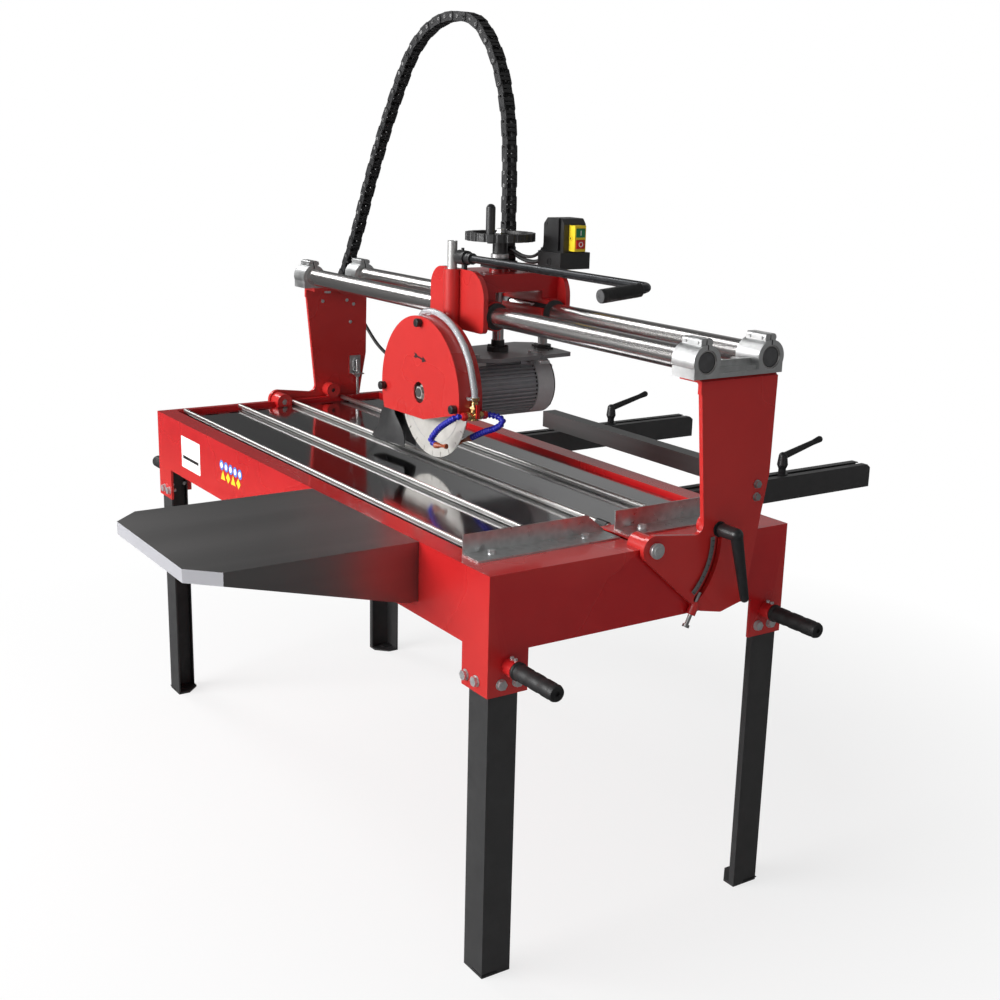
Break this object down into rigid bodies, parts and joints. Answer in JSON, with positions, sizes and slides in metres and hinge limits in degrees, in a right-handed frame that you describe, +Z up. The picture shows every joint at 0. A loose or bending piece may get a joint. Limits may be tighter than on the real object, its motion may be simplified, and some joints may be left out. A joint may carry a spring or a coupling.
{
  "type": "wet tile saw",
  "caption": "Bridge wet tile saw: steel table on legs with support rods, a tilting twin-rail bridge and a sliding motor carriage with guarded blade, water feed and cable chain.",
  "frame": {"origin": "on the floor under the middle of the whole machine's bounding box, side table and rear support included", "axes": "+X along the bridge rails towards the end with the two fences, +Y to the rear where the support arms stand out, +Z up"},
  "size_m": [1.91, 1.821, 1.7965],
  "materials": {
    "red_paint": "gloss",
    "black_paint": "satin",
    "polished_sheet": "polished",
    "brushed_sheet": "brushed",
    "chrome_bar": "polished",
    "zinc": "zinc plated",
    "cast_aluminium": "as cast",
    "black_rubber": "matt",
    "black_plastic": "satin",
    "yellow_plastic": "gloss",
    "green_plastic": "gloss",
    "red_plastic": "gloss",
    "dark_iron": "satin paint",
    "blade_steel": "ground",
    "copper_winding": "varnished",
    "clear_hose": "translucent",
    "brass_fitting": "machined",
    "blue_plastic": "satin"
  },
  "bodies": {
    "frame": {"frame_tub": "red_paint", "table_sheet": "polished_sheet", "table_rods": "chrome_bar", "end_fences": "zinc", "frame_bolts": "zinc", "leg_front_left": "black_paint", "leg_front_right": "black_paint", "leg_rear_left": "black_paint", "leg_rear_right": "black_paint", "carry_grips": "black_rubber", "water_pump": "black_plastic", "support_arm_left": "black_paint", "support_arm_right": "black_paint"},
    "side_extension": {"side_table": "brushed_sheet"},
    "rear_support": {"support_crossbar": "cast_aluminium"},
    "support_clamp_left": {"support_lever_left": "black_plastic"},
    "support_clamp_right": {"support_lever_right": "black_plastic"},
    "tilt_clamp_left": {"tilt_lever_left": "black_plastic"},
    "tilt_clamp_right": {"tilt_lever_right": "black_plastic"},
    "bridge": {"upright_left": "red_paint", "upright_right": "red_paint", "rail_clamp_left": "cast_aluminium", "rail_clamp_right": "cast_aluminium", "clamp_screws": "zinc", "bridge_rails": "chrome_bar", "tilt_stops": "zinc", "chain_bracket": "black_paint", "drag_chain": "black_plastic", "power_cable": "black_rubber"},
    "carriage": {"carriage_body": "red_paint", "rail_bushes": "black_plastic", "push_bar": "dark_iron", "push_bar_clamp": "black_plastic", "push_bar_grip": "black_rubber", "control_box": "black_plastic", "switch_plate": "yellow_plastic", "screw_seat": "black_paint"},
    "start_key": {"start_button": "green_plastic"},
    "stop_key": {"stop_button": "red_plastic"},
    "feed_wheel": {"handwheel": "black_plastic", "depth_screw": "zinc"},
    "crank": {"crank_knob": "black_plastic"},
    "head": {"motor_plate": "black_paint", "guide_columns": "zinc", "lift_nut": "chrome_bar", "motor_housing": "dark_iron", "motor_stator": "copper_winding", "fan_cover": "black_paint", "guard_body": "red_paint", "guard_cover": "red_paint", "guard_knobs": "black_plastic", "splash_flap": "black_rubber", "water_hose": "clear_hose", "water_valve": "brass_fitting", "coolant_hoses": "blue_plastic"},
    "spindle": {"rotor_shaft": "zinc", "motor_fan": "black_plastic", "blade": "blade_steel", "blade_clamp": "zinc"},
    "valve_handle": {"valve_lever": "red_plastic"}
  },
  "joints": [
    {"name": "bridge_tilt", "type": "hinge", "parent": "frame", "child": "bridge", "pos_m": [0, -0.1255, 0.785], "axis": [1, 0, 0], "range_deg": [0, 45], "deforming": ["power_cable"]},
    {"name": "carriage_slide", "type": "slide", "parent": "bridge", "child": "carriage", "axis": [1, 0, 0], "range_m": [-0.52, 0.52], "deforming": ["drag_chain"]},
    {"name": "handwheel_turn", "type": "hinge", "parent": "carriage", "child": "feed_wheel", "pos_m": [0.028, 0.046, 1.29], "axis": [0, 0, 1], "range_deg": [-3606, 1086]},
    {"name": "crank_spin", "type": "hinge", "parent": "feed_wheel", "child": "crank", "pos_m": [0.06772, -0.00671, 1.32], "axis": [0, 0, 1], "continuous": true},
    {"name": "head_lift", "type": "slide", "parent": "carriage", "child": "head", "axis": [0, 0, 1], "range_m": [-0.015, 0.05]},
    {"name": "blade_spin", "type": "hinge", "parent": "head", "child": "spindle", "pos_m": [0.028, -0.1255, 0.948], "axis": [0, 1, 0], "continuous": true},
    {"name": "water_valve_turn", "type": "hinge", "parent": "head", "child": "valve_handle", "pos_m": [0.208, -0.1295, 0.924], "axis": [1, 0, 0], "range_deg": [0, 90]},
    {"name": "start_press", "type": "slide", "parent": "carriage", "child": "start_key", "axis": [-1, 0, 0], "range_m": [0, 0.003]},
    {"name": "stop_press", "type": "slide", "parent": "carriage", "child": "stop_key", "axis": [-1, 0, 0], "range_m": [0, 0.003]},
    {"name": "tilt_lever_right_turn", "type": "hinge", "parent": "frame", "child": "tilt_clamp_right", "pos_m": [0.84, 0.0295, 0.804], "axis": [1, 0, 0], "range_deg": [-60, 45]},
    {"name": "tilt_lever_left_turn", "type": "hinge", "parent": "frame", "child": "tilt_clamp_left", "pos_m": [-0.84, 0.0295, 0.804], "axis": [1, 0, 0], "range_deg": [-60, 45]},
    {"name": "rear_support_slide", "type": "slide", "parent": "frame", "child": "rear_support", "axis": [0, 1, 0], "range_m": [-0.1, 0.25]},
    {"name": "support_lever_left_turn", "type": "hinge", "parent": "rear_support", "child": "support_clamp_left", "pos_m": [-0.28, 0.6315, 0.77], "axis": [0, 0, 1], "range_deg": [-60, 60]},
    {"name": "support_lever_right_turn", "type": "hinge", "parent": "rear_support", "child": "support_clamp_right", "pos_m": [0.385, 0.6315, 0.77], "axis": [0, 0, 1], "range_deg": [-60, 60]},
    {"name": "side_table_lift", "type": "slide", "parent": "frame", "child": "side_extension", "axis": [0, 0, 1], "range_m": [0, 0.03]}
  ],
  "couplings": [
    {"joint": "handwheel_turn", "follows": "head_lift", "rad_per_m": -1256.6}
  ]
}
